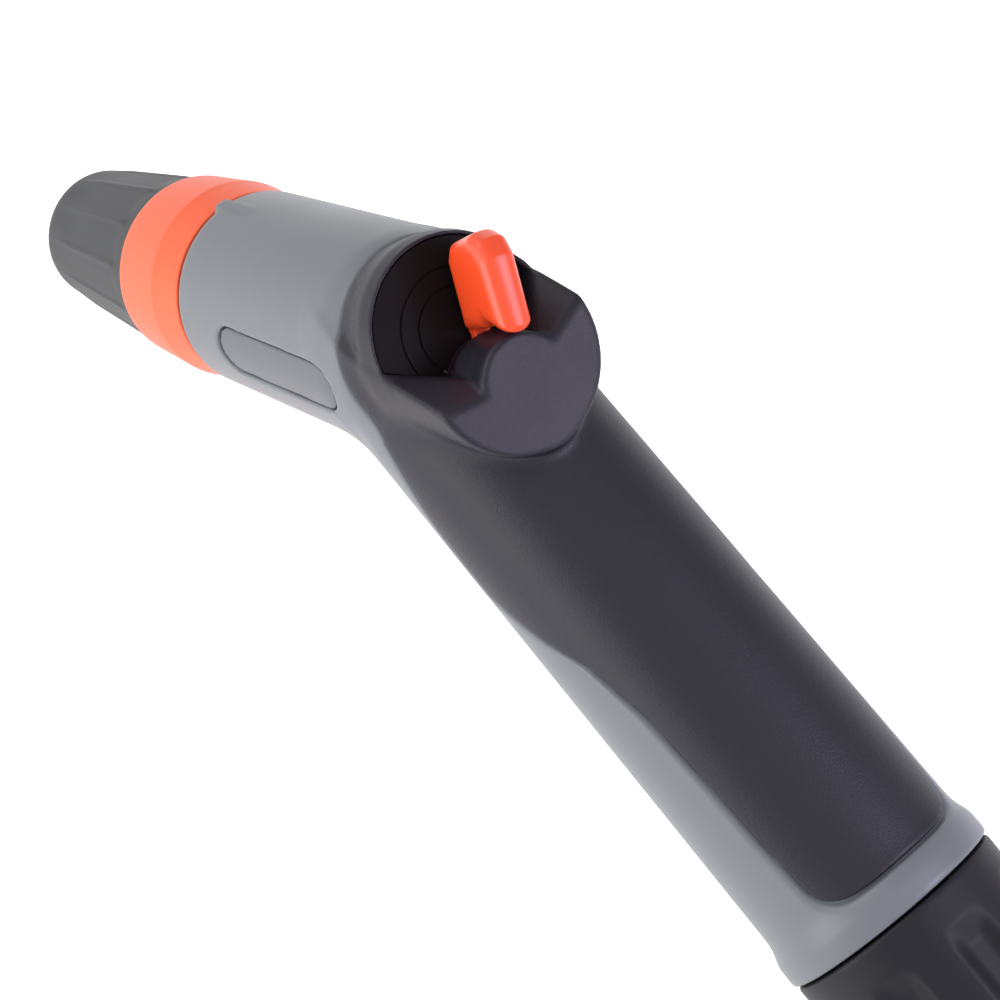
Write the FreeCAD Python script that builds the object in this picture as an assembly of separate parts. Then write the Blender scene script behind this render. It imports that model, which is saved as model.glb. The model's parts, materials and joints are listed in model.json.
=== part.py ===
"""Angled watering wand: grip with a thumb-turned valve, a twist nozzle and a swivelling hose inlet.

Two straight axes meet at the bend. The handle axis runs from the bend to the hose end, and the barrel
axis runs from the bend to the nozzle. Both are drawn with the handle level and are tilted at the end,
so that the finished wand stands on its nozzle rim and on its hose nut. Millimetres throughout.
"""
import FreeCAD, Part
import math
import os

V = FreeCAD.Vector

# --- driving dimensions -------------------------------------------------------------------------
BEND_DEG = 52.0            # turn between the handle axis and the barrel axis
FIT_GAP = 0.05             # radial clearance of a running fit
BODY_GAP = 0.35            # gap between moving pieces that are not a fit

# barrel stations, measured from the bend towards the nozzle (negative is behind the bend)
NECK_REAR_S = 0.0          # widest section of the neck
NECK_FRONT_S = 50.1        # front end of the grey neck
RING_REAR_S = 50.5
RING_STEP_S = 57.3         # widest edge of the coloured ring
RING_FRONT_S = 71.9
SLEEVE_FRONT_S = 110.4

# barrel radii
NECK_REAR_R = 18.6
NECK_R = 17.5
RING_BORE_R = 15.1
RING_REAR_R = 17.6
RING_STEP_R = 17.9
RING_FRONT_R = 16.8
SLEEVE_REAR_R = 16.2
SLEEVE_FRONT_R = 12.7

# pod on the bend: a shallow round well, and a fixed boss that rises from its hose side
POD_DEG = 69.0             # slope of the pod's axis above the handle axis
WELL_X = 5.1               # centre of the well's floor
WELL_Z = 15.75
WELL_R = 15.3
RIM_TOP_H = 0.9            # rim, measured up from the well's floor
RIM_TOP_R = 15.9
RIM_LOW_H = -4.5
RIM_LOW_R = 16.9
BOSS_TOP_H = 13.0
BOSS_TOP_R = 15.9
BOSS_LEAN = 6.5            # the boss leans this far towards the hose
PIVOT_A = -10.4            # lever's pivot, measured from the middle of the well
DRUM_R = 8.0               # round wall of the boss that the lever passes
WELL_HALF_DEG = 52.0       # half the opening of the well, seen from the pivot
SLOPE_START = -4.4         # flanks fall from here to the rim
SLOPE_END = 8.0
RING_GROOVES = (7.0, 10.2) # fine rings in the floor of the well

# lever
LEVER_REST_DEG = -17.0     # lever's rest position, turned away from the thumb line
LEVER_THICK = 5.0
LEVER_R = 24.8
LEVER_TOP_H = 15.4
HUB_R = 6.1
HUB_TOP_H = 5.2

# handle stations, measured from the bend towards the hose
COVER_END_X = 114.2
COLLAR_START_X = 116.0
COLLAR_END_X = 121.5
NUT_START_X = 121.9
NUT_END_X = 155.5
NIPPLE_END_X = 181.5

# handle radii
HANDLE_BEND_R = 17.8
HANDLE_END_R = 19.05
COLLAR_R = 20.2
NUT_R = 19.8
NUT_FLUTES = 8
FLUTE_R = 5.2
FLUTE_START_X = 129.5
FLUTE_DEPTH = 1.6
NIPPLE_R = 7.95

COVER_T = 1.8              # soft cover
CHAMBER_R = 7.05           # bore that the valve plug turns in
PORT_R = 2.9               # water way through the valve
STEM_R = 3.0
TUBE_R = 6.2
TUBE_BORE_R = 4.8
CORE_R = 9.4               # fixed tube inside the nozzle sleeve
CORE_BORE_R = 6.8
SPIGOT_R = 10.6            # fixed spigot inside the hose nut

SLEEVE_RIBS = 12
BADGE_L = 38.0             # plain badge on each side of the neck
BADGE_H = 9.6
BADGE_S = 17.5
BADGE_X = 0.6
BADGE_FLOOR = 15.0

# front edge of the soft cover: a plane square to this slope, this far from the bend
SEAM_DEG = 69.0
SEAM_OFFSET = 6.8
# lower edge of the soft cover on the handle: station and height
COVER_EDGE = [(-60, -4), (40, -4), (50, 0.6), (58, 5), (74, 7.6), (100, 10.6),
              (COVER_END_X, 11.8)]

# --- frames -------------------------------------------------------------------------------------
BEND = math.radians(BEND_DEG)
BARREL_DIR = V(-math.cos(BEND), 0, -math.sin(BEND))
BARREL_UP = V(-math.sin(BEND), 0, math.cos(BEND))


def frame(x_dir, y_dir, z_dir):
    """Placement whose local axes are the three given directions, with its origin at the bend."""
    matrix = FreeCAD.Matrix(x_dir.x, y_dir.x, z_dir.x, 0,
                            x_dir.y, y_dir.y, z_dir.y, 0,
                            x_dir.z, y_dir.z, z_dir.z, 0,
                            0, 0, 0, 1)
    return FreeCAD.Placement(matrix)


# local x is the thumb side and local z runs along the axis
BARREL = frame(BARREL_UP, V(0, 1, 0), BARREL_DIR)
HANDLE = frame(V(0, 0, 1), V(0, -1, 0), V(1, 0, 0))

# local x points to the nozzle and local z stands square to the well's floor
POD_SLOPE = math.radians(POD_DEG)
POD = frame(V(-math.sin(POD_SLOPE), 0, math.cos(POD_SLOPE)), V(0, -1, 0),
            V(math.cos(POD_SLOPE), 0, math.sin(POD_SLOPE)))
POD.Base = V(WELL_X, 0, WELL_Z)

# local x points up and local y towards the hose, for outlines drawn in side view
SIDE_VIEW = frame(V(0, 0, 1), V(1, 0, 0), V(0, 1, 0))
PIVOT = POD.multiply(FreeCAD.Placement(V(PIVOT_A, 0, 0), FreeCAD.Rotation()))


def stand_angle():
    """Tilt that brings the nozzle's lower rim and the nut's lower rim to one level."""
    nozzle = BARREL.multVec(V(2 - SLEEVE_FRONT_R, 0, SLEEVE_FRONT_S))
    nut = HANDLE.multVec(V(-NUT_R, 0, NUT_END_X))
    return math.degrees(math.atan2(nut.z - nozzle.z, nut.x - nozzle.x))


# --- helpers ------------------------------------------------------------------------------------
def outward(solid, place):
    """The solid with its faces turned outward, set in its frame."""
    if solid.Volume < 0:
        solid.reverse()
    solid.Placement = place
    return solid


def lathe(points, place, seam=0):
    """Solid of revolution about a frame's z axis from (station, radius) points."""
    wire = Part.makePolygon([V(r, 0, z) for z, r in points] + [V(points[0][1], 0, points[0][0])])
    solid = Part.Face(wire).revolve(V(0, 0, 0), V(0, 0, 1), 360)
    solid.rotate(V(0, 0, 0), V(0, 0, 1), seam)
    return outward(solid, place.multiply(solid.Placement))


def rod(start, end, radius, place):
    return lathe([(start, 0), (start, radius), (end, radius), (end, 0)], place)


def tube(start, end, outer, inner, place):
    return lathe([(start, inner), (start, outer), (end, outer), (end, inner)], place)


def o_ring(station, inner, section, place):
    """Torus of round section that sits on a shaft of the given radius."""
    torus = Part.makeTorus(inner + section / 2, section / 2, V(0, 0, station), V(0, 0, 1))
    torus.Placement = place
    return torus


def prism(points, start, end, place):
    """Straight prism along a frame's z axis from (thumbwards, lateral) points."""
    wire = Part.makePolygon([V(x, y, start) for x, y in points] + [V(points[0][0], points[0][1], start)])
    return outward(Part.Face(wire).extrude(V(0, 0, end - start)), place)


def box(x0, x1, y0, y1, z0, z1, place):
    solid = Part.makeBox(x1 - x0, y1 - y0, z1 - z0, V(x0, y0, z0))
    solid.Placement = place
    return solid


def turned(shape, angle, place):
    """Copy of a shape turned about a frame's z axis."""
    copy = shape.copy()
    copy.rotate(place.Base, place.Rotation.multVec(V(0, 0, 1)), angle)
    return copy


def around(shape, count, place):
    return [turned(shape, 360.0 * i / count, place) for i in range(count)]


# --- outer shells -------------------------------------------------------------------------------
def barrel_skin(inset):
    """Neck of the barrel, drawn inside the surface by the inset."""
    return lathe([(NECK_FRONT_S, 0), (NECK_FRONT_S, NECK_R - inset), (25, NECK_R + 0.4 - inset),
                  (NECK_REAR_S, NECK_REAR_R - inset), (-9, 16.5 - inset), (-12.5, 12 - inset), (-12.5, 0)],
                 BARREL, 37)


def handle_skin(inset):
    return lathe([(-9 + inset, 0), (-4, HANDLE_BEND_R - 5 - inset), (10, HANDLE_BEND_R - inset),
                  (COVER_END_X, HANDLE_END_R - inset), (COLLAR_START_X, COLLAR_R - 0.5 - inset),
                  (COLLAR_END_X, COLLAR_R - inset), (COLLAR_END_X, 0)], HANDLE, 61)


def skin_form(inset):
    """Neck and handle together, drawn inside the surface by the inset."""
    return barrel_skin(inset).fuse(handle_skin(inset))


def disc_wire(offset, height, radius):
    """Circle square to the pod's axis."""
    ring = Part.makeCircle(radius, V(offset, 0, height), V(0, 0, 1))
    return Part.Wire([ring])


def well_sector(half_deg, low, high):
    """Wedge that opens from the lever's pivot towards the nozzle."""
    angle = math.radians(half_deg)
    edge = (60 * math.cos(angle), 60 * math.sin(angle))
    return prism([(0, 0), edge, (80, 0), (edge[0], -edge[1])], low, high, PIVOT)


def well_space():
    """Open room of the well, above the seat of its floor plate."""
    dish = rod(-1.65, 40, WELL_R, POD)
    return dish.common(well_sector(WELL_HALF_DEG, -2, 41)).cut(rod(-3, 42, DRUM_R, PIVOT))


def pod():
    """Rim of the well, with the boss and the two flanks that slope down from it."""
    rim = lathe([(-18, 0), (-18, 12), (-12, 15.2), (RIM_LOW_H, RIM_LOW_R), (RIM_TOP_H, RIM_TOP_R),
                 (RIM_TOP_H, 0)], POD, 23)
    boss = Part.makeLoft([disc_wire(0, RIM_LOW_H, RIM_LOW_R - 0.1),
                          disc_wire(-BOSS_LEAN, BOSS_TOP_H, BOSS_TOP_R)],
                         True, True)
    boss = outward(boss, POD)
    slope = Part.makePolygon([V(SLOPE_START, -40, BOSS_TOP_H + 0.1), V(SLOPE_END, -40, RIM_TOP_H),
                              V(40, -40, RIM_TOP_H), V(40, -40, 40), V(SLOPE_START, -40, 40),
                              V(SLOPE_START, -40, BOSS_TOP_H + 0.1)])
    slope = outward(Part.Face(slope).extrude(V(0, 80, 0)), POD)
    return rim.fuse([boss.cut(slope), rod(RIM_LOW_H, BOSS_TOP_H, DRUM_R, PIVOT)])


def hub_space():
    """Room inside the boss for the lever's hub, with the slot that the lever's arm sweeps."""
    slot = rod(0, 3.6, DRUM_R + 1, PIVOT).common(well_sector(WELL_HALF_DEG, -1, 5))
    return rod(0, 7.4, HUB_R + BODY_GAP, PIVOT).fuse([slot, rod(-5, 1, STEM_R + BODY_GAP, PIVOT)])


def outer_form():
    return skin_form(0).fuse(pod()).cut(well_space())


def cover_zone():
    """Space that the soft cover takes: the thumb side of the handle and everything behind the seam."""
    outline = COVER_EDGE + [(COVER_END_X, 60), (-60, 60)]
    zone = prism([(z, x) for x, z in outline], -60, 60, SIDE_VIEW)
    ahead = Part.makeBox(200, 200, 200, V(-100, -100, -200))
    slope = math.radians(SEAM_DEG)
    normal = V(math.cos(slope), 0, math.sin(slope))
    ahead.Placement = FreeCAD.Placement(normal * SEAM_OFFSET, FreeCAD.Rotation(V(0, 0, 1), normal))
    return zone.cut(ahead)


def pointer():
    """Small raised pointer on the thumb side of the neck, which reads against the nozzle ring."""
    return prism([(NECK_R - 1, -3.2), (NECK_R + 0.9, -2.2), (NECK_R + 0.9, 2.2), (NECK_R - 1, 3.2)],
                 NECK_FRONT_S - 9, NECK_FRONT_S, BARREL)


def badge_pocket(side, grow, low, high):
    """Long round-ended block on one side of the neck."""
    half = BADGE_H / 2 + grow
    end = BADGE_L / 2 - BADGE_H / 2
    middle = box(-half, half, -end, end, low, high, FreeCAD.Placement())
    ends = [Part.makeCylinder(half, high - low, V(0, z, low), V(0, 0, 1)) for z in (-end, end)]
    block = middle.fuse(ends)
    turn = FreeCAD.Rotation(V(1, 0, 0), V(0, 0, 1), V(0, side, 0), "XZY")
    block.Placement = BARREL.multiply(FreeCAD.Placement(V(BADGE_X, 0, BADGE_S), turn))
    return block


def badge_blocks(grow, low, high):
    return [badge_pocket(side, grow, low, high) for side in (1, -1)]


def valve_block(grow):
    """Outside of the valve body: a cup round the plug, the inlet socket and the outlet spigot."""
    cup = rod(-21.5 - grow, -3.2, 10.0 + grow, PIVOT)
    inlet = rod(9, 27, 9.0 + grow, HANDLE)
    outlet = rod(0, 15, 10.5 + grow, BARREL)
    return cup.fuse([inlet, outlet])


def housing_cavity():
    """Hollow of the grey shell, with the seats of the valve, the core tube and the end plug."""
    barrel = lathe([(14.9, 0), (14.9, 12.7), (18, 13.4),
                    (NECK_FRONT_S + 1, 14.5), (NECK_FRONT_S + 1, 0)], BARREL)
    handle = lathe([(21, 0), (21, 9.3), (25, 13.6), (107.5, 15.2),
                    (COLLAR_END_X + 1, 15.2), (COLLAR_END_X + 1, 0)],
                   HANDLE)
    return barrel.fuse([handle, valve_block(FIT_GAP)])


def grip_cover():
    return outer_form().common(cover_zone()).cut([skin_form(COVER_T), hub_space()])


def main_housing():
    shell = outer_form().cut(cover_zone()).fuse([skin_form(COVER_T).cut(well_space()), pointer()])
    return shell.cut([housing_cavity(), hub_space()] + badge_blocks(0, BADGE_FLOOR, 30))


def badge_plates():
    plates = [block.common(barrel_skin(0.4)) for block in badge_blocks(-0.15, BADGE_FLOOR, 30)]
    return Part.makeCompound(plates)


def well_plate():
    """Dark floor of the well, with two fine rings."""
    plate = rod(-1.6, 0, WELL_R - 0.1, POD).common(well_sector(WELL_HALF_DEG - 0.5, -2, 1))
    grooves = [tube(-0.3, 0.1, r + 0.45, r, POD) for r in RING_GROOVES]
    return plate.cut([rod(-3, 3, DRUM_R + 0.1, PIVOT)] + grooves)


# --- valve in the bend --------------------------------------------------------------------------
def water_way():
    """Bent way from the plug to the barrel."""
    start = V(5, 0, 0)
    end = BARREL.multVec(V(0, 0, 13))
    return Part.makeCylinder(PORT_R, (end - start).Length, start, end - start)


def valve_body():
    chamber = rod(-19.6, 4.0, CHAMBER_R, PIVOT)
    inlet = rod(12, 22, PORT_R, HANDLE)
    socket = lathe([(21, 0), (21, TUBE_R + FIT_GAP), (23.6, TUBE_R + FIT_GAP), (23.6, 7.5), (25.0, 7.5),
                    (25.0, TUBE_R + FIT_GAP), (28, TUBE_R + FIT_GAP), (28, 0)], HANDLE)
    front = rod(13.2, 16, 7.2, BARREL)
    funnel = rod(11.5, 14, 5.0, BARREL)
    return valve_block(0).cut([chamber, inlet, socket, front, funnel, water_way()])


def valve_cap():
    return tube(-6.2, -3.3, CHAMBER_R - FIT_GAP, STEM_R + FIT_GAP, PIVOT)


def valve_plug():
    """Plug with a cross bore, and a stem that carries the lever."""
    stem = lathe([(-19.4, 0), (-19.4, CHAMBER_R - FIT_GAP), (-6.4, CHAMBER_R - FIT_GAP), (-6.4, STEM_R),
                  (-5.3, STEM_R), (-5.3, 2.0), (-4.1, 2.0), (-4.1, STEM_R), (5.1, STEM_R), (5.1, 1.2),
                  (-1.0, 1.2), (-1.0, 0)], PIVOT)
    bore = rod(-2, 24, PORT_R, HANDLE)
    flats = [box(2.4, 6, -6, 6, 1.0, 6, PIVOT), box(-6, -2.4, -6, 6, 1.0, 6, PIVOT)]
    return stem.cut([turned(bore, -LEVER_REST_DEG, PIVOT)] + flats)


def stem_o_ring():
    return o_ring(-4.7, 2.05, 0.95, PIVOT)


def tube_o_ring():
    return o_ring(24.3, TUBE_R + 0.02, 1.2, HANDLE)


# --- lever --------------------------------------------------------------------------------------
def lever_fin():
    """Side view of the fin (outward, height): notched inner edge and a lobe over the boss."""
    points = [(9.4, 0.4), (9.4, 5.6), (11.6, 8.4), (9.8, 11.4), (9.0, 13.45), (7.4, 13.5), (6.8, 14.4),
              (8.2, LEVER_TOP_H), (21.6, LEVER_TOP_H - 0.8), (24.0, 12.8), (LEVER_R, 10.4), (23.8, 2.6),
              (21.5, 1.3), (19.0, 1.3), (18.0, 0.4)]
    wire = Part.makePolygon([V(r, -LEVER_THICK / 2, h) for r, h in points + points[:1]])
    fin = outward(Part.Face(wire).extrude(V(0, LEVER_THICK, 0)), PIVOT)
    return fin.makeFillet(1.5, [edge for edge in fin.Edges if lever_top_edge(edge)])


def lever_top_edge(edge):
    """True for the two long edges along the top of the fin."""
    local = PIVOT.inverse()
    ends = [local.multVec(v.Point) for v in edge.Vertexes]
    return min(p.z for p in ends) > 14 and abs(ends[0].x - ends[1].x) > 10


def thumb_lever():
    """Fin, arm and hub in one piece; the hub fits over the flats of the valve's stem."""
    hub = rod(0.35, HUB_TOP_H, HUB_R, PIVOT)
    arm = box(4.0, 10.0, -1.8, 1.8, 0.4, 3.2, PIVOT)
    fit = rod(-1, 5.15, STEM_R + FIT_GAP, PIVOT)
    fit = fit.cut([box(2.45, 6, -6, 6, 1.0, 6, PIVOT), box(-6, -2.45, -6, 6, 1.0, 6, PIVOT)])
    body = lever_fin().fuse([hub, arm])
    return turned(body, LEVER_REST_DEG, PIVOT).cut([fit, rod(5, 8, 1.3, PIVOT)])


def lever_screw():
    return lathe([(6.5, 0), (6.5, 2.3), (5.25, 2.3), (5.25, 1.15), (-0.8, 1.15), (-0.8, 0)], PIVOT)


# --- nozzle -------------------------------------------------------------------------------------
def barrel_core():
    """Fixed tube that carries the nozzle sleeve, with two long slots for the needle carrier's keys."""
    core = lathe([(15.05, 5.0), (15.05, 12.6), (18, 12.6), (18, CORE_R), (44, CORE_R), (44, 14.2),
                  (48, 14.2),
                  (48, CORE_R), (54, CORE_R), (54, 8.4), (56.2, 8.4), (56.2, CORE_R), (60, CORE_R),
                  (60, 8.2),
                  (61.4, 8.2), (61.4, CORE_R), (90, CORE_R), (90, CORE_BORE_R), (19, CORE_BORE_R),
                  (19, 5.0)],
                 BARREL)
    slot = box(-20, 20, -1.75, 1.75, 66, 86, BARREL)
    return core.cut(slot)


def core_o_ring():
    return o_ring(14.1, 5.3, 1.7, BARREL)


def nozzle_sleeve():
    """Hand-turned sleeve: plain rear half under the ring, ribbed front half that tapers to the rim."""
    inner = CORE_R + FIT_GAP
    body = lathe([(RING_REAR_S, inner), (RING_REAR_S, RING_BORE_R - 0.05),
                  (RING_FRONT_S, RING_BORE_R - 0.05),
                  (RING_FRONT_S, SLEEVE_REAR_R), (SLEEVE_FRONT_S - 2.2, SLEEVE_FRONT_R),
                  (SLEEVE_FRONT_S - 0.7, SLEEVE_FRONT_R - 0.6), (SLEEVE_FRONT_S, SLEEVE_FRONT_R - 1.9),
                  (SLEEVE_FRONT_S, 10.0), (SLEEVE_FRONT_S - 2.6, 9.3), (99, 9.3), (99, 11.2), (64, 11.2),
                  (64, inner), (61.3, inner), (61.3, 10.8), (60.1, 10.8), (60.1, inner)], BARREL)
    rib = prism([(10.0, -1.1), (20.0, -1.1), (20.0, 1.1), (10.0, 1.1)], RING_FRONT_S + 4, SLEEVE_FRONT_S - 5,
                BARREL)
    shell = lathe([(RING_FRONT_S, 12), (RING_FRONT_S, SLEEVE_REAR_R + 0.4),
                   (SLEEVE_FRONT_S - 2.2, SLEEVE_FRONT_R + 0.4), (SLEEVE_FRONT_S - 2.2, 12)], BARREL)
    ribs = [turned(r, 180.0 / SLEEVE_RIBS, BARREL) for r in around(rib.common(shell), SLEEVE_RIBS, BARREL)]
    return body.fuse(ribs)


def nozzle_ring():
    return lathe([(RING_REAR_S, RING_BORE_R), (RING_REAR_S, RING_REAR_R), (RING_STEP_S, RING_STEP_R),
                  (RING_FRONT_S - 0.8, RING_FRONT_R), (RING_FRONT_S, RING_FRONT_R - 0.8),
                  (RING_FRONT_S, RING_BORE_R)], BARREL)


def nozzle_tip():
    """Front disc with the jet orifice, seated behind the sleeve's shoulder."""
    return lathe([(97.05, 2.5), (97.05, 11.1), (98.95, 11.1), (98.95, 9.2), (SLEEVE_FRONT_S - 3.2, 9.2),
                  (SLEEVE_FRONT_S - 1.8, 6.0), (SLEEVE_FRONT_S - 1.8, 2.5)], BARREL)


def tip_o_ring():
    return o_ring(96.1, 9.5, 1.6, BARREL)


def jet_needle():
    return lathe([(72, 0), (72, 2.2), (95, 2.2), (99.5, 0.8), (99.5, 0)], BARREL)


def needle_carrier():
    ring = tube(74, 77, CORE_BORE_R - FIT_GAP, 5.2, BARREL)
    hub = tube(74, 77, 3.6, 2.25, BARREL)
    arms = around(box(3.2, 5.6, -1.2, 1.2, 74, 77, BARREL), 4, BARREL)
    keys = around(box(5.6, 10.9, -1.6, 1.6, 74, 77, BARREL), 2, BARREL)
    return ring.fuse([hub] + arms + keys)


def sleeve_clip():
    """Spring clip in the core's groove that keeps the sleeve on."""
    ring = tube(60.2, 61.2, 10.5, 8.25, BARREL)
    return ring.cut(box(-2.0, 2.0, 0, 20, 60, 62, BARREL))


def sleeve_o_ring():
    return o_ring(55.1, 8.42, 1.0, BARREL)


# --- handle -------------------------------------------------------------------------------------
def inlet_tube():
    return tube(21.1, 117.4, TUBE_R, TUBE_BORE_R, HANDLE)


def tube_supports():
    """Two webs that hold the water tube in the middle of the handle."""
    webs = []
    for x in (50, 88):
        web = tube(x, x + 3, 13.55 + (x - 25) * 1.6 / 82.5, TUBE_R + 0.02, HANDLE)
        opening = rod(x - 1, x + 4, 2.2, HANDLE)
        opening.translate(V(0, 0, 10.2))
        webs.append(web.cut(around(opening, 4, HANDLE)))
    return Part.makeCompound(webs)


def inlet_plug():
    """End plug of the handle, with the spigot that the hose nut turns on."""
    return lathe([(107.55, TUBE_R + 0.02), (107.55, 15.15), (COLLAR_END_X, 15.15), (COLLAR_END_X, SPIGOT_R),
                  (129.5, SPIGOT_R), (129.5, 9.2), (131.1, 9.2), (131.1, SPIGOT_R), (135.5, SPIGOT_R),
                  (135.5, 9.0), (136.9, 9.0), (136.9, SPIGOT_R), (141.5, SPIGOT_R), (141.5, TUBE_BORE_R),
                  (117.5, TUBE_BORE_R), (117.5, TUBE_R + 0.02)], HANDLE)


def swivel_o_ring():
    return o_ring(130.3, 9.25, 1.3, HANDLE)


def swivel_clip():
    ring = tube(135.7, 136.7, 12.0, 9.05, HANDLE)
    return ring.cut(box(0, 20, -2.0, 2.0, 135, 138, HANDLE))


def swivel_nut():
    """Fluted nut that turns freely on the spigot and holds the hose nipple."""
    inner = SPIGOT_R + FIT_GAP
    nut = lathe([(NUT_START_X, inner), (NUT_START_X, NUT_R), (NUT_END_X - 2.5, NUT_R - 0.6),
                 (NUT_END_X, NUT_R - 3.0), (NUT_END_X, 12.0), (144.5, 12.0), (144.5, inner), (136.8, inner),
                 (136.8, 12.3), (135.6, 12.3), (135.6, inner)], HANDLE)
    flute = rod(FLUTE_START_X, 200, FLUTE_R, HANDLE)
    flute.translate(V(0, 0, NUT_R + FLUTE_R - FLUTE_DEPTH))
    return nut.cut(around(flute, NUT_FLUTES, HANDLE))


def hose_nipple():
    """Quick-connect nipple: ring groove near the end and a locking shoulder for the coupler's claws."""
    return lathe([(144.55, 6.0), (144.55, 11.95), (NUT_END_X, 11.95), (NUT_END_X, 10.4), (158.5, 10.4),
                  (158.5, 8.0), (164.5, NIPPLE_R), (164.5, 8.9), (167.5, 8.9), (169.5, NIPPLE_R),
                  (175, NIPPLE_R), (175, 6.4), (177.8, 6.4), (177.8, NIPPLE_R), (180.5, NIPPLE_R),
                  (NIPPLE_END_X, 7.0), (NIPPLE_END_X, 5.2), (153.5, 5.2), (153.5, 6.0)], HANDLE)


def nipple_o_ring():
    return o_ring(176.4, 6.4, 1.5, HANDLE)


def inlet_strainer():
    """Small cup-shaped mesh that keeps grit out of the valve."""
    return lathe([(144.6, 5.9), (153.4, 5.9), (153.4, 5.3), (145.5, 5.3), (145.5, 0), (144.6, 0)], HANDLE)


PARTS = [main_housing, grip_cover, badge_plates, well_plate, valve_body, valve_cap, valve_plug,
         stem_o_ring, tube_o_ring, thumb_lever, lever_screw, barrel_core, core_o_ring, nozzle_sleeve,
         nozzle_ring, nozzle_tip, tip_o_ring, jet_needle, needle_carrier, sleeve_clip, sleeve_o_ring,
         inlet_tube, tube_supports, inlet_plug, swivel_o_ring, swivel_clip, swivel_nut, hose_nipple,
         nipple_o_ring, inlet_strainer]

os.makedirs("parts", exist_ok=True)
shapes = {make.__name__: make() for make in PARTS}
for shape in shapes.values():
    shape.rotate(V(0, 0, 0), V(0, 1, 0), stand_angle())
whole = Part.makeCompound(list(shapes.values())).BoundBox
shift = V(-(whole.XMin + whole.XMax) / 2, -(whole.YMin + whole.YMax) / 2, -whole.ZMin)
print("tilt", stand_angle(), "bend at", shift)
for name, shape in shapes.items():
    shape.translate(shift)
    shape.exportStep("parts/" + name + ".step")
    print(name, len(shape.Solids), shape.isValid(), round(shape.Volume, 1))
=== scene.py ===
"""Looks of the watering wand: moulded shells, soft cover, lever, nozzle and nut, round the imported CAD.

The shells are drawn as distance fields in the wand's own frame, in millimetres: x runs along the handle
towards the hose, y across the wand, and z towards the thumb side, with the origin at the bend.
"""
import json
import math

import bpy
import numpy as np
import openvdb
from mathutils import Matrix, Vector


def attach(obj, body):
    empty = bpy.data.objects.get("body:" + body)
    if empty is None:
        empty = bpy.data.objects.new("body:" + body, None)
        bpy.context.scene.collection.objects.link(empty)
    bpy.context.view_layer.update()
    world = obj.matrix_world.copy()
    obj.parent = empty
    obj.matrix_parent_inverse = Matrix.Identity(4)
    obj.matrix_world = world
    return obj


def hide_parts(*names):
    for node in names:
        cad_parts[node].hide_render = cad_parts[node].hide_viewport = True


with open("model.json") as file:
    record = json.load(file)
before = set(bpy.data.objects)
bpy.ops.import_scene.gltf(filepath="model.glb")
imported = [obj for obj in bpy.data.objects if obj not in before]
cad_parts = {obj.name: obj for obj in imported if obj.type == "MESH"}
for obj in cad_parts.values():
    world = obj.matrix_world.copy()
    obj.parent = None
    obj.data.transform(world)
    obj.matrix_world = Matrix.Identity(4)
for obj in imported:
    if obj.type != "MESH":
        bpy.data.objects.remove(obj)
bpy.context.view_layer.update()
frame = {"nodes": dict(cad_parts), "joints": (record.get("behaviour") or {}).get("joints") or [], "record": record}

# --- the wand's frame, from the joints -----------------------------------------------------------
joints = {joint["name"]: joint for joint in frame["joints"]}
BEND = Vector(joints["hose_swivel"]["pos_m"])
HANDLE_DIR = Vector(joints["hose_swivel"]["axis"]).normalized()
BARREL_DIR = Vector(joints["nozzle_turn"]["axis"]).normalized()
POD_DIR = Vector(joints["lever_turn"]["axis"]).normalized()
ACROSS = Vector((0, 1, 0))
THUMB_DIR = HANDLE_DIR.cross(ACROSS)
MM = 0.001


def in_wand(vector):
    """(x, z) of a row-frame vector in the wand's frame."""
    return vector.dot(HANDLE_DIR), vector.dot(THUMB_DIR)


BARREL_X, BARREL_Z = in_wand(BARREL_DIR)
POD_X, POD_Z = in_wand(POD_DIR)
PIVOT_X, PIVOT_Z = (value / MM for value in in_wand(Vector(joints["lever_turn"]["pos_m"]) - BEND))

# --- sizes in millimetres ------------------------------------------------------------------------
GRID = 0.4                    # voxel of the big shells
FINE_GRID = 0.22              # voxel of the lever
NECK = ((-12.5, 12), (-9, 16.2), (-5, 18.1), (2, 18.7), (50.1, 17.5))
HANDLE = ((-9, 5), (-4, 12.8), (2, 16), (10, 17.8), (60, 18.4), (113, 19.0), (115.2, 19.2), (116.8, 20.15),
          (121.5, 20.2))
NECK_FRONT = NECK[-1][0]
COVER_END = 115.0
# Height of the cover's lower edge along the handle
COVER_EDGE = ((-60, -4), (40, -4), (48, 0), (60, 6.9), (72, 9.3), (86, 10.2), (100, 10.9), (114, 11.9))
COVER_DEPTH = 4               # how far the cover goes in under the surface
HOUSING_DEPTH = 5.5
SEAT_DEPTH = 1.0              # the housing's ledge under the cover's edge
SEAT_REACH = 2.5
SEAM_GAP = 0.2                # each side of the seam line
SEAM_ROUND = 0.7
SEAM_SLOPE = math.radians(69)
SEAM_OFFSET = 6.8
PIVOT_A = -10.4               # pivot, measured from the middle of the well
WELL_R = 15.3
WELL_FLOOR = -1.62
RIM = ((-18, 10), (-12, 13), (-7, 15.6), (-3.5, 16.8), (0.9, 15.9))
RIM_LOW = -4.5
RIM_TOP = 0.9
BOSS_TOP = 13.0
BOSS_R = 16.8                 # at its foot
BOSS_TAPER = 0.9
BOSS_LEAN = 6.5
FLANK = (0.827, -0.23, 0.513) # slope of the flanks: outwards, sideways and up
FLANK_PLACE = 7.1
FLANK_SKEW = 0.066            # how much further forward the far flank stands
DRUM_R = 8.2
DRUM_FLARE = 0.5              # wider foot of the drum
HUB_ROOM_R = 6.45
HUB_ROOM_TOP = 7.4
SLOT_R = 9                    # slot at the foot of the drum, which lets the arm swing
SLOT_TOP = 2.8
WELL_HALF = math.radians(52)
LEVER_REST = math.radians(17)
BADGE = dict(station=17.8, height=1.6, half_length=14.2, radius=4.5)
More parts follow.
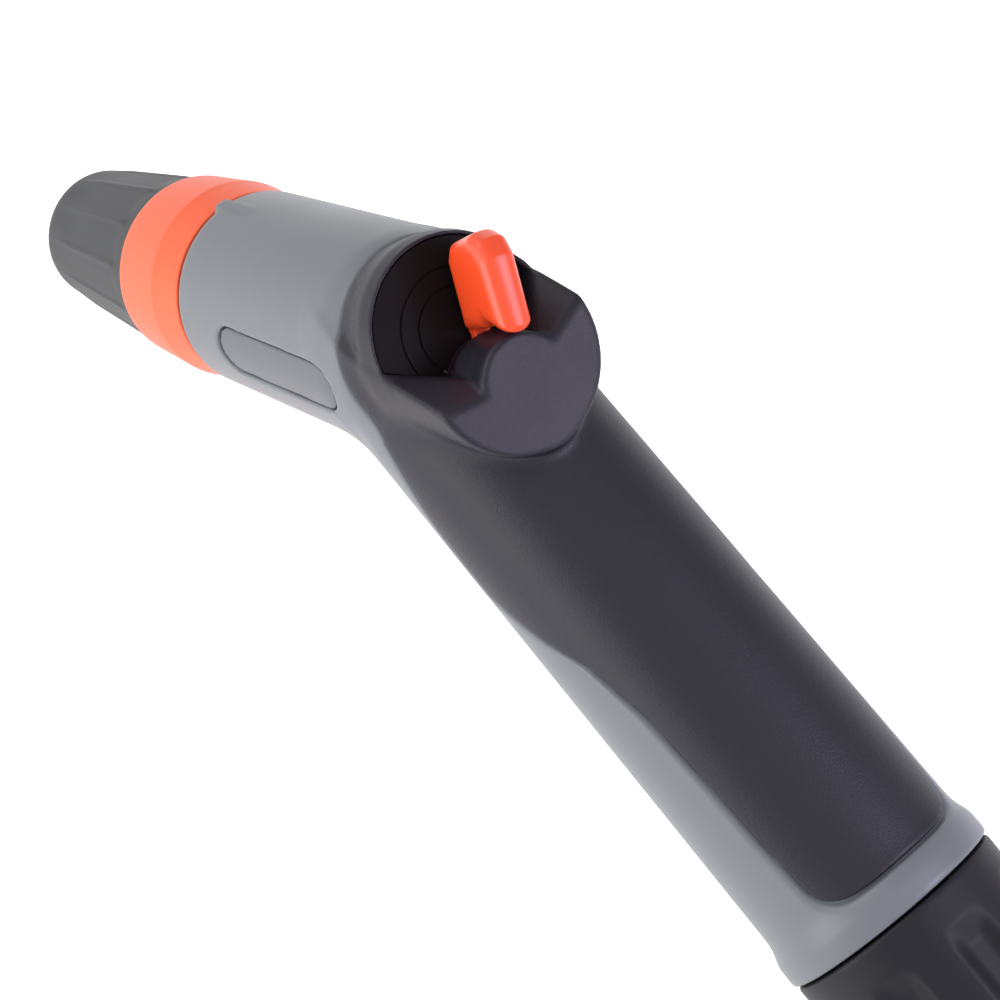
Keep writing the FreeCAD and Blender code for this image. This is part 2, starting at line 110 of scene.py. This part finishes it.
BADGE_DEPTH = 1.4
BADGE_BACK = 1.5              # the plate goes in a little past the floor of its recess
BADGE_TOP = 0.35              # below the neck's surface
BADGE_GAP = 0.25
POINTER_START = 39
POINTER_HEIGHT = 0.5
POINTER_HALF = 1.6


# --- distance fields -----------------------------------------------------------------------------
def smooth_max(a, b, k):
    """Intersection of two fields with its edge rounded over k."""
    h = np.maximum(k - np.abs(a - b), 0) / k
    return np.maximum(a, b) + h * h * k / 4


def smooth_min(a, b, k):
    """Union of two fields with its corner rounded over k."""
    return -smooth_max(-a, -b, k)


def profile(station, points):
    """Radius at each station along a list of (station, radius) points."""
    stations, radii = zip(*points)
    table = np.arange(stations[0] - 4, stations[-1] + 4, 0.5)
    window = np.hanning(11)
    raw = np.interp(np.arange(table[0] - 2.5, table[-1] + 2.6, 0.5), stations, radii)
    smooth = np.convolve(raw, window / window.sum(), mode="valid")
    return np.interp(station, table, smooth[:len(table)]).astype(np.float32)


class Space:
    """A box of voxels in the wand's frame, with the stations and radii about each axis."""

    def __init__(self, low, high, step):
        self.low = low
        self.step = step
        x, y, z = (np.arange(a, b, step, dtype=np.float32) for a, b in zip(low, high))
        self.x = x[:, None, None]
        self.y = y[None, :, None]
        self.z = z[None, None, :]
        self.side = np.abs(self.y)
        self.handle_r = np.hypot(self.z, self.y)
        self.s = self.x * BARREL_X + self.z * BARREL_Z
        self.u = self.x * BARREL_Z - self.z * BARREL_X
        self.barrel_r = np.hypot(self.u, self.y)
        from_pivot_x = self.x - PIVOT_X
        from_pivot_z = self.z - PIVOT_Z
        self.h = from_pivot_x * POD_X + from_pivot_z * POD_Z
        self.out = from_pivot_z * POD_X - from_pivot_x * POD_Z
        self.pivot_r = np.hypot(self.out, self.y)
        self.well_r = np.hypot(self.out + PIVOT_A, self.y)


def surface(field, step):
    """Points, in voxels, and quads of a distance field's surface."""
    reach = 3 * step
    grid = openvdb.FloatGrid(reach)
    grid.copyFromArray(np.ascontiguousarray(np.clip(field, -reach, reach), dtype=np.float32))
    return grid.convertToQuads(0.0)


def mesh_from(space, field, name):
    """Surface of a distance field as a smooth Blender mesh in the row frame."""
    points, quads = surface(field, space.step)
    return mesh_in_wand(points * space.step + np.array(space.low), quads[:, ::-1], name)


def mesh_in_wand(points, faces, name):
    """Blender object from points in the wand's frame, in millimetres, and its faces."""
    axes = np.array([HANDLE_DIR, ACROSS, THUMB_DIR])
    world = np.asarray(points, dtype=float) @ axes * MM + np.array(BEND)
    mesh = bpy.data.meshes.new(name)
    mesh.from_pydata(world.tolist(), [], [list(map(int, face)) for face in faces])
    mesh.update()
    if signed_volume(mesh) < 0:
        mesh.flip_normals()
    mesh.polygons.foreach_set("use_smooth", [True] * len(mesh.polygons))
    obj = bpy.data.objects.new(name, mesh)
    bpy.context.collection.objects.link(obj)
    return obj


def signed_volume(mesh):
    """Six times the volume inside a mesh, negative where its faces point inwards."""
    mesh.calc_loop_triangles()
    corners = np.empty(len(mesh.loop_triangles) * 3, dtype=np.int32)
    mesh.loop_triangles.foreach_get("vertices", corners)
    places = np.empty(len(mesh.vertices) * 3)
    mesh.vertices.foreach_get("co", places)
    a, b, c = np.moveaxis(places.reshape(-1, 3)[corners.reshape(-1, 3)], 1, 0)
    return np.einsum("ij,ij->i", a, np.cross(b, c)).sum()


# --- shells --------------------------------------------------------------------------------------
def well_wedge(space):
    """Negative inside the wedge that opens from the pivot towards the nozzle."""
    return space.side * math.cos(WELL_HALF) - space.out * math.sin(WELL_HALF)


def outer_field(space):
    """Neck, handle, rim and boss as one blended form, with the well taken out."""
    neck = smooth_max(space.barrel_r - profile(space.s, NECK), space.s - NECK_FRONT, 2.2)
    neck = np.maximum(neck, NECK[0][0] - space.s)
    handle = smooth_max(space.handle_r - profile(space.x, HANDLE), space.x - HANDLE[-1][0], 0.9)
    handle = np.maximum(handle, HANDLE[0][0] - space.x)
    below = np.clip((-4 - space.z) / 10, 0, 1)
    skin = smooth_min(neck, handle, 2 + 3.5 * below)

    rim = smooth_max(space.well_r - profile(space.h, RIM), space.h - RIM_TOP, 0.7)
    rim = np.maximum(rim, RIM[0][0] - space.h)
    rise = np.clip((space.h - RIM_LOW) / (BOSS_TOP - RIM_LOW), 0, 1)
    boss_r = np.hypot(space.out + PIVOT_A + BOSS_LEAN * rise, space.side)
    slope = FLANK[0] * space.out + FLANK[1] * space.side + FLANK[2] * space.h
    slope = slope - FLANK_PLACE - FLANK_SKEW * space.y
    boss = smooth_max(boss_r - (BOSS_R - BOSS_TAPER * rise), slope, 1.0)
    drum_r = DRUM_R + DRUM_FLARE * np.clip((9 - space.h) / 5, 0, 1)
    drum = np.maximum(space.pivot_r - drum_r, -space.h - 3)
    boss = smooth_max(smooth_min(boss, drum, 0.8), space.h - BOSS_TOP, 1.3)
    boss = np.maximum(boss, RIM[0][0] - space.h)
    pod = smooth_min(rim, boss, 1.2)
    form = smooth_min(skin, pod, 3.0)

    well = np.maximum(space.well_r - WELL_R, WELL_FLOOR - space.h)
    well = smooth_max(np.maximum(well, well_wedge(space)), drum_r - space.pivot_r, 0.5)
    return smooth_max(form, -well, 1.0)


def hub_room(space):
    """Room for the lever's hub and arm inside the boss."""
    room = np.maximum(space.pivot_r - HUB_ROOM_R, np.maximum(-space.h, space.h - HUB_ROOM_TOP))
    slot = np.maximum(space.pivot_r - SLOT_R, well_wedge(space))
    slot = np.maximum(slot, np.maximum(-space.h, space.h - SLOT_TOP))
    return np.minimum(room, slot)


def cover_field(space):
    """Negative where the soft cover goes."""
    ahead = SEAM_OFFSET - (space.x * math.cos(SEAM_SLOPE) + space.z * math.sin(SEAM_SLOPE))
    under = profile(space.x, COVER_EDGE) - space.z
    zone = smooth_max(under * 0.95, space.x - COVER_END, 6.0)
    return smooth_max(zone, ahead, 3.0)


def badge_field(space, grow, depth):
    """Negative inside the long round-ended recess on the side of the neck."""
    along = np.maximum(np.abs(space.s - BADGE["station"]) - BADGE["half_length"], 0)
    flat = np.hypot(along, space.u - BADGE["height"]) - BADGE["radius"] - grow
    floor = profile(space.s, NECK) - depth - space.barrel_r
    return np.maximum(np.maximum(flat, floor), 8 - space.side)


def pointer_field(space):
    """Small raised tab at the front of the neck, which fades towards the bend."""
    fade = np.clip((space.s - POINTER_START) / 10, 0, 1)
    top = space.barrel_r - profile(space.s, NECK) - POINTER_HEIGHT * fade
    sides = space.side - POINTER_HALF + 0.9 * (space.barrel_r - NECK[-1][1])
    ends = np.maximum(POINTER_START - space.s, np.maximum(space.s - NECK_FRONT, -space.u))
    return np.maximum(np.maximum(top, sides), ends)


def build_shells():
    """Housing shell, soft cover and badge plates, cut from one form."""
    space = Space((-48, -21.6, -54), (123, 21.8, 32), GRID)
    form = outer_field(space)
    zone = cover_field(space)
    room = hub_room(space)
    cover = smooth_max(form, zone + SEAM_GAP, SEAM_ROUND)
    cover = np.maximum(np.maximum(cover, -room), -form - COVER_DEPTH)
    seat = np.maximum(form + SEAT_DEPTH, zone - SEAT_REACH)
    grey = np.minimum(form, pointer_field(space))
    grey = smooth_max(grey, SEAM_GAP - zone, SEAM_ROUND)
    grey = np.minimum(grey, np.maximum(seat, -form - COVER_DEPTH))
    grey = smooth_max(grey, -badge_field(space, 0, BADGE_DEPTH), 0.6)
    grey = np.maximum(grey, -form - HOUSING_DEPTH)
    grey = np.maximum(grey, -room)
    badge_top = space.barrel_r - profile(space.s, NECK) + BADGE_TOP
    badge = np.maximum(badge_field(space, -BADGE_GAP, BADGE_BACK), badge_top)
    housing = mesh_from(space, grey, "housing_shell")
    grip = mesh_from(space, cover, "soft_cover")
    return housing, grip, mesh_from(space, badge, "badge_skin")


# --- turned pieces -------------------------------------------------------------------------------
RIBS = 12                     # round the nozzle sleeve
SCALLOPS = 8                  # round the nut


def turned_piece(name, outline, relief, axis_x, axis_z, sides=288):
    """Closed turned piece from (station, radius) points.

    relief(station, radius, angle) adds to the radius.
    """
    outline = dense(outline)
    stations, radii = outline[:, 0][:, None], outline[:, 1][:, None]
    angles = np.linspace(0, 2 * math.pi, sides, endpoint=False)[None, :]
    r = radii + relief(stations, radii, angles)
    up_x, up_z = axis_z, -axis_x
    if up_z < 0:
        up_x, up_z = -up_x, -up_z
    s = np.broadcast_to(stations, r.shape)
    x = s * axis_x + r * np.cos(angles) * up_x
    z = s * axis_z + r * np.cos(angles) * up_z
    y = r * np.sin(angles)
    points = np.stack([x, y, z], axis=-1).reshape(-1, 3)
    rows = len(outline)
    i, j = np.meshgrid(np.arange(rows), np.arange(sides), indexing="ij")
    i2, j2 = (i + 1) % rows, (j + 1) % sides
    quads = np.stack([i * sides + j, i * sides + j2, i2 * sides + j2, i2 * sides + j], axis=-1)
    return mesh_in_wand(points, quads.reshape(-1, 4), name)


def dense(outline, step=0.6):
    """The closed outline with points added, so that no edge is longer than the step."""
    result = []
    for start, end in zip(outline, outline[1:] + outline[:1]):
        count = max(1, int(math.hypot(end[0] - start[0], end[1] - start[1]) / step))
        for k in range(count):
            result.append([start[m] + (end[m] - start[m]) * k / count for m in (0, 1)])
    return np.array(result)


def rounded(corner, radius, before, after, steps=4):
    """Points of a rounded corner between two unit directions, (station, radius)."""
    start = (corner[0] - before[0] * radius, corner[1] - before[1] * radius)
    end = (corner[0] + after[0] * radius, corner[1] + after[1] * radius)
    points = []
    for k in range(steps + 1):
        t = k / steps
        first, middle, last = (1 - t) ** 2, 2 * t * (1 - t), t * t
        points.append(tuple(first * start[m] + middle * corner[m] + last * end[m] for m in (0, 1)))
    return points


def no_relief(station, radius, angle):
    """Zero everywhere, in the shape that turned_piece expects."""
    return 0 * angle * station


def build_sleeve():
    """Dark nozzle sleeve with shallow ribs that end before the ring and before the rounded front edge."""
    outline = [(50.5, 9.45), (50.5, 15.0), (71.7, 15.0)]
    outline += rounded((71.9, 16.0), 0.5, (0.2, 0.98), (0.99, -0.1))
    outline += rounded((110.4, 12.1), 4.0, (0.99, -0.1), (0, -1), 8)
    outline += [(110.4, 9.8), (109.2, 9.4), (99, 9.3), (99, 11.2), (64, 11.2), (64, 9.45)]

    def ribs(station, radius, angle):
        from_rib = np.abs((angle * RIBS / (2 * math.pi) + 0.5) % 1 - 0.5) * 2
        ridge = np.exp(-(from_rib / 0.16) ** 2)
        hollow = 0.5 * (1 - np.cos(math.pi * from_rib))
        fade = np.clip((station - 75) / 2.5, 0, 1) * np.clip((106 - station) / 8, 0, 1)
        outer = (radius > 11.6) & (station > 72)
        return (0.32 * ridge - 0.22 * hollow) * fade * outer

    return turned_piece("nozzle_sleeve_skin", outline, ribs, BARREL_X, BARREL_Z, 384)


def build_ring():
    """Coloured ring in two bands: a narrow rear band and a wide conical front band."""
    outline = [(50.5, 15.1)] + rounded((50.5, 17.0), 0.4, (0, 1), (1, 0.1))
    outline += [(57.0, 17.72), (57.6, 17.86), (58.2, 17.86)]
    outline += rounded((71.9, 16.8), 0.9, (0.997, -0.07), (0, -1))
    outline += [(71.9, 15.1)]
    return turned_piece("nozzle_ring_skin", outline, no_relief, BARREL_X, BARREL_Z)


def build_nut():
    """Dark nut with a plain band and wide scallops."""
    outline = [(121.9, 10.65)] + rounded((121.9, 19.8), 0.8, (0, 1), (1, 0))
    outline += rounded((155.5, 19.2), 2.6, (1, -0.02), (0, -1), 6)
    outline += [(155.5, 12.0), (144.5, 12.0), (144.5, 10.65)]

    def scallops(station, radius, angle):
        wave = np.clip(np.cos(SCALLOPS * angle), -0.3, 1)
        dip = (wave + 0.3) / 1.3
        start = np.clip((station - 127.5) / 4.5, 0, 1)
        return -1.7 * dip * dip * (3 - 2 * dip) * start * (radius > 14)

    return turned_piece("hose_nut_skin", outline, scallops, 1, 0, 384)


# --- lever ---------------------------------------------------------------------------------------
LEVER_LOW = (-7, -7, -0.6)    # lowest corner of the lever's voxels: outwards, sideways and up
LEVER_HIGH = (26.5, 7.2, 17)
FIN_HALF = 3.0                # half the fin's thickness at its inner end
HUB_R = 6.1
HUB_BORE_R = 3.1
HUB_FOOT = 0.35
HUB_TOP = 5.2
ARM_HALF = 1.5
ARM_FOOT = 0.4
ARM_TOP = 2.2
ARM_START = 5
ARM_END = 12
LEVER_SIDE = [(9.2, 0.5), (9.2, 6.4), (10.2, 8.4), (9.6, 9.8), (8.6, 11.6), (8.0, 13.3), (7.9, 14.6),
              (8.8, 15.5), (20.4, 15.3), (23.4, 13.8), (24.7, 10.8), (23.8, 3.6), (21.4, 1.5), (18.6, 1.3)]


def polygon_field(px, py, corners):
    """Signed distance to a polygon in a plane."""
    distance = np.full(np.broadcast(px, py).shape, 1e9, dtype=np.float32)
    inside = np.zeros(distance.shape, dtype=bool)
    for (x0, y0), (x1, y1) in zip(corners, corners[1:] + corners[:1]):
        ex, ey = x1 - x0, y1 - y0
        t = np.clip(((px - x0) * ex + (py - y0) * ey) / (ex * ex + ey * ey), 0, 1)
        distance = np.minimum(distance, np.hypot(px - x0 - t * ex, py - y0 - t * ey))
        crosses = (y0 > py) != (y1 > py)
        if y1 != y0:
            inside ^= crosses & (px < x0 + (py - y0) * ex / ey)
    return np.where(inside, -distance, distance)


def build_lever():
    """Orange lever: rounded fin, arm and hub, drawn along the thumb line and then turned to rest."""
    step = FINE_GRID
    out = np.arange(LEVER_LOW[0], LEVER_HIGH[0], step, dtype=np.float32)[:, None, None]
    side = np.arange(LEVER_LOW[1], LEVER_HIGH[1], step, dtype=np.float32)[None, :, None]
    h = np.arange(LEVER_LOW[2], LEVER_HIGH[2], step, dtype=np.float32)[None, None, :]
    plane = polygon_field(out[:, 0, :], h[0], LEVER_SIDE)[:, None, :]
    half = FIN_HALF + 0.02 * (out - 9)
    fin = smooth_max(plane, np.abs(side) - half, 3.0)
    hub = np.maximum(np.hypot(out, side) - HUB_R, np.maximum(HUB_FOOT - h, h - HUB_TOP))
    hub = np.maximum(hub, HUB_BORE_R - np.hypot(out, side))
    arm = np.maximum(np.abs(side) - ARM_HALF, np.maximum(ARM_FOOT - h, h - ARM_TOP))
    arm = np.maximum(np.maximum(ARM_START - out, out - ARM_END), arm)
    field = smooth_min(fin, np.minimum(hub, arm), 0.6)
    points, quads = surface(field, step)
    o, across, up = (points[:, axis] * step + LEVER_LOW[axis] for axis in range(3))
    turned_o = o * math.cos(LEVER_REST) - across * math.sin(LEVER_REST)
    turned_y = o * math.sin(LEVER_REST) + across * math.cos(LEVER_REST)
    x = PIVOT_X - turned_o * POD_Z + up * POD_X
    z = PIVOT_Z + turned_o * POD_X + up * POD_Z
    return mesh_in_wand(np.stack([x, turned_y, z], axis=-1), quads, "lever_skin")


# --- materials -----------------------------------------------------------------------------------
def material(name, colour, roughness, grain=0.0, grain_size=0.4, mottle=0.08, wear=0.0, gloss=0.5,
             coat=0.0, metallic=0.0):
    """Moulded material: fine grain in the bump, slow mottling in colour and gloss, pale worn edges."""
    result = bpy.data.materials.new(name)
    result.use_nodes = True
    nodes, links = result.node_tree.nodes, result.node_tree.links
    shader = nodes["Principled BSDF"]
    shader.inputs["Metallic"].default_value = metallic
    shader.inputs["Specular IOR Level"].default_value = gloss
    shader.inputs["Coat Weight"].default_value = coat
    shader.inputs["Coat Roughness"].default_value = 0.25
    place = nodes.new("ShaderNodeTexCoord")

    slow = nodes.new("ShaderNodeTexNoise")
    slow.inputs["Scale"].default_value = 55
    slow.inputs["Detail"].default_value = 4
    links.new(place.outputs["Object"], slow.inputs["Vector"])
    fine = nodes.new("ShaderNodeTexNoise")
    fine.inputs["Scale"].default_value = 1000 / grain_size
    fine.inputs["Detail"].default_value = 3
    links.new(place.outputs["Object"], fine.inputs["Vector"])

    shade = nodes.new("ShaderNodeMapRange")
    shade.inputs["To Min"].default_value = 1 - mottle
    shade.inputs["To Max"].default_value = 1 + mottle
    links.new(slow.outputs["Fac"], shade.inputs["Value"])
    tint = nodes.new("ShaderNodeMix")
    tint.data_type = "RGBA"
    tint.blend_type = "MULTIPLY"
    tint.inputs["Factor"].default_value = 1
    tint.inputs["A"].default_value = (*colour, 1)
    links.new(shade.outputs["Result"], tint.inputs["B"])

    edges = nodes.new("ShaderNodeNewGeometry")
    worn = nodes.new("ShaderNodeMapRange")
    worn.inputs["From Min"].default_value = 0.53
    worn.inputs["From Max"].default_value = 0.62
    worn.inputs["To Max"].default_value = wear
    links.new(edges.outputs["Pointiness"], worn.inputs["Value"])
    paler = nodes.new("ShaderNodeMix")
    paler.data_type = "RGBA"
    links.new(worn.outputs["Result"], paler.inputs["Factor"])
    links.new(tint.outputs["Result"], paler.inputs["A"])
    paler.inputs["B"].default_value = (*[0.55 * c + 0.35 for c in colour], 1)
    links.new(paler.outputs["Result"], shader.inputs["Base Color"])

    gloss_range = nodes.new("ShaderNodeMapRange")
    gloss_range.inputs["To Min"].default_value = max(0.02, roughness - 0.07)
    gloss_range.inputs["To Max"].default_value = min(1, roughness + 0.07)
    links.new(slow.outputs["Fac"], gloss_range.inputs["Value"])
    links.new(gloss_range.outputs["Result"], shader.inputs["Roughness"])

    bump = nodes.new("ShaderNodeBump")
    bump.inputs["Strength"].default_value = grain
    bump.inputs["Distance"].default_value = 0.06 * MM
    links.new(fine.outputs["Fac"], bump.inputs["Height"])
    links.new(bump.outputs["Normal"], shader.inputs["Normal"])
    return result


FINISHES = {
    "grey_shell": material("grey_shell", (0.145, 0.155, 0.173), 0.40, grain=0.25, grain_size=0.35,
                           mottle=0.05),
    "soft_grip": material("soft_grip", (0.0095, 0.008, 0.0165), 0.46, grain=1.0, grain_size=0.3, mottle=0.2,
                          gloss=0.42),
    "badge": material("badge", (0.095, 0.103, 0.12), 0.38, grain=0.2, grain_size=0.3, wear=0.1),
    "valve_plastic": material("valve_plastic", (0.62, 0.62, 0.58), 0.4, grain=0.1),
    "seal_rubber": material("seal_rubber", (0.012, 0.012, 0.012), 0.5, grain=0.3),
    "brass": material("brass", (0.72, 0.52, 0.24), 0.3, grain=0.1, metallic=1),
    "orange_lever": material("orange_lever", (0.84, 0.068, 0.014), 0.36, grain=0.12, grain_size=0.3,
                             mottle=0.04, wear=0.08, coat=0.15),
    "dark_hub": material("dark_hub", (0.005, 0.0035, 0.0045), 0.6, grain=0.3, grain_size=0.3, gloss=0.12),
    "steel": material("steel", (0.6, 0.6, 0.6), 0.3, grain=0.1, metallic=1),
    "dark_sleeve": material("dark_sleeve", (0.032, 0.033, 0.036), 0.55, grain=0.6, grain_size=0.25,
                            wear=0.12),
    "orange_ring": material("orange_ring", (0.90, 0.115, 0.035), 0.45, grain=0.2, grain_size=0.3,
                            mottle=0.04, wear=0.08),
    "dark_nut": material("dark_nut", (0.010, 0.009, 0.014), 0.5, gloss=0.28, grain=0.5, grain_size=0.25,
                         wear=0.1),
    "grey_nipple": material("grey_nipple", (0.13, 0.14, 0.15), 0.4, grain=0.2),
}


def dress(obj, slot):
    """Give an object the finish of a material slot."""
    obj.data.materials.clear()
    obj.data.materials.append(FINISHES[slot])


slots = {part["node"]: part["material_slot"] for part in frame["record"]["subparts"]}
for name, node in frame["nodes"].items():
    dress(node, slots[name])

housing, grip, badges = build_shells()
REPLACED = [
    (housing, "handle", "main_housing"),
    (grip, "handle", "grip_cover"),
    (badges, "handle", "badge_plates"),
    (build_lever(), "lever", "thumb_lever"),
    (build_sleeve(), "nozzle", "nozzle_sleeve"),
    (build_ring(), "nozzle", "nozzle_ring"),
    (build_nut(), "hose_end", "swivel_nut"),
]
for piece, body, node in REPLACED:
    dress(piece, slots[node])
    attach(piece, body)
    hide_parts(node)


# --- stage, light and camera ---------------------------------------------------------------------
def point_in_row(x, y, z):
    """A point of the wand's frame, in millimetres, in the row frame."""
    return BEND + (HANDLE_DIR * x + ACROSS * y + THUMB_DIR * z) * MM


bpy.ops.mesh.primitive_plane_add(size=6, location=(0, 0, 0))
floor = bpy.context.object
floor.name = "floor"
floor_look = bpy.data.materials.new("floor")
floor_look.use_nodes = True
floor_shader = floor_look.node_tree.nodes["Principled BSDF"]
floor_shader.inputs["Base Color"].default_value = (0.9, 0.9, 0.9, 1)
floor_shader.inputs["Roughness"].default_value = 0.9
floor_shader.inputs["Specular IOR Level"].default_value = 0.1
floor_shader.inputs["Emission Color"].default_value = (1, 1, 1, 1)
floor_shader.inputs["Emission Strength"].default_value = 0.65
floor.data.materials.append(floor_look)

CAMERA_PLACE = (71.0, -194.4, 454.7)
CAMERA_RIGHT = (0.6363, 0.7320, 0.2438)
CAMERA_BACK = (0.0839, -0.3798, 0.9213)
CAMERA_LENS = 108


def direction_in_row(x, y, z):
    """A direction of the wand's frame in the row frame."""
    return (HANDLE_DIR * x + ACROSS * y + THUMB_DIR * z).normalized()


def area_light(name, place, aim, size, power, colour=(1, 1, 1)):
    """Square light at a place, which faces the point aimed at."""
    data = bpy.data.lights.new(name, "AREA")
    data.size = size
    data.energy = power
    data.color = colour
    light = bpy.data.objects.new(name, data)
    light.location = place
    light.rotation_euler = (Vector(aim) - Vector(place)).to_track_quat("-Z", "Y").to_euler()
    bpy.context.collection.objects.link(light)
    return light


right = direction_in_row(*CAMERA_RIGHT)
back = direction_in_row(*CAMERA_BACK)
up = back.cross(right)
camera_data = bpy.data.cameras.new("camera")
camera_data.lens = CAMERA_LENS
camera_data.sensor_width = 36
camera_data.clip_start = 0.01
camera = bpy.data.objects.new("camera", camera_data)
camera.matrix_world = Matrix((
    (right.x, up.x, back.x, 0), (right.y, up.y, back.y, 0), (right.z, up.z, back.z, 0), (0, 0, 0, 1)))
camera.location = point_in_row(*CAMERA_PLACE)
bpy.context.collection.objects.link(camera)
bpy.context.scene.camera = camera

aim = point_in_row(30, 0, 0)
area_light("key", aim - right * 0.55 + up * 0.45 + back * 0.35, aim, size=0.6, power=2.2)
area_light("fill", aim + back * 0.9 + right * 0.1, aim, size=0.9, power=1)
boss_top = point_in_row(PIVOT_X, 0, PIVOT_Z)
BOSS_LIGHT = (0.553, 0.38, 0.742)   # where the boss's flat top mirrors the camera
boss_light_place = boss_top + direction_in_row(*BOSS_LIGHT) * 0.6
area_light("boss", boss_light_place, boss_top, size=0.25, power=1.8, colour=(0.82, 0.76, 1))
area_light("low", aim - right * 0.65 - up * 0.25 + back * 0.3, aim, size=0.5, power=3.2)

world = bpy.data.worlds.new("world")
world.use_nodes = True
world.node_tree.nodes["Background"].inputs["Color"].default_value = (1, 1, 1, 1)
world.node_tree.nodes["Background"].inputs["Strength"].default_value = 0.55
bpy.context.scene.world = world
bpy.context.scene.view_settings.view_transform = "Standard"
